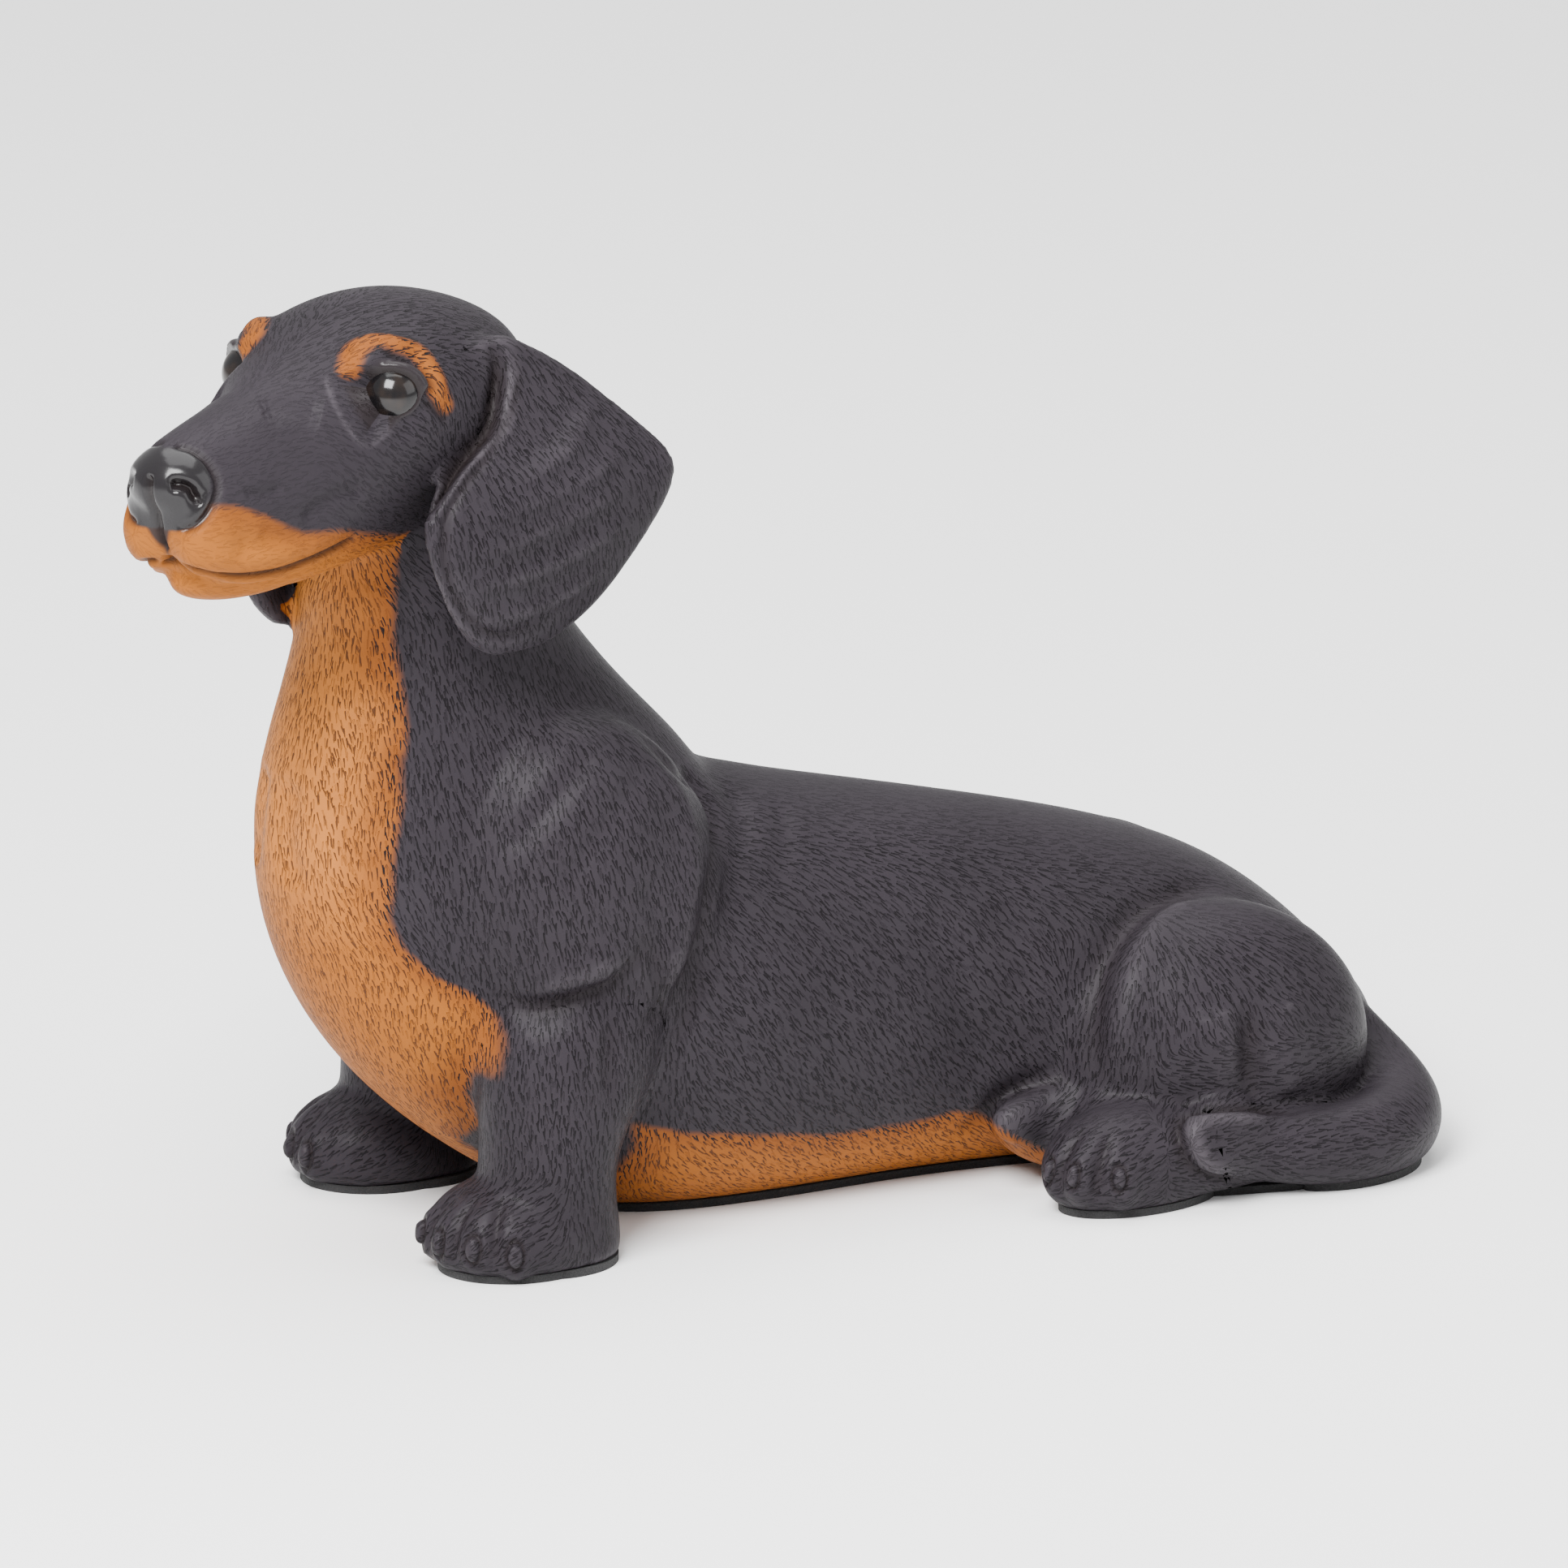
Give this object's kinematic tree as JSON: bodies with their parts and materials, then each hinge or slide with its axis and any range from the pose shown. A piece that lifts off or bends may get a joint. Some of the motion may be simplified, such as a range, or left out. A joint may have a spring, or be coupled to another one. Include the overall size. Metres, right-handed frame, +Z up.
{
  "type": "ceramic dog figurine",
  "caption": "Free-standing hollow ceramic figurine of a lying short-legged dog with upright forelegs, glass eyes and felt pads under the belly and paws.",
  "frame": {"origin": "on the resting plane, on the midline of the trunk under the rib cage", "axes": "+Z up, the dog looks along -X, its left side faces -Y"},
  "size_m": [0.28, 0.1212, 0.1959],
  "materials": {
    "painted_ceramic": "fired ceramic with matte airbrushed black and tan paint and engraved coat lines",
    "eye_glass": "solid dark glass, polished dome",
    "eye_backing": "black lacquered disc",
    "felt": "black wool felt"
  },
  "bodies": {
    "root": {"torso": "painted_ceramic", "head": "painted_ceramic", "left_ear": "painted_ceramic", "right_ear": "painted_ceramic", "left_foreleg": "painted_ceramic", "right_foreleg": "painted_ceramic", "left_hind_foot": "painted_ceramic", "right_hind_foot": "painted_ceramic", "tail": "painted_ceramic", "left_eye_glass": "eye_glass", "right_eye_glass": "eye_glass", "left_eye_backing": "eye_backing", "right_eye_backing": "eye_backing", "base_felt": "felt", "left_paw_felt": "felt", "right_paw_felt": "felt"}
  },
  "joints": []
}
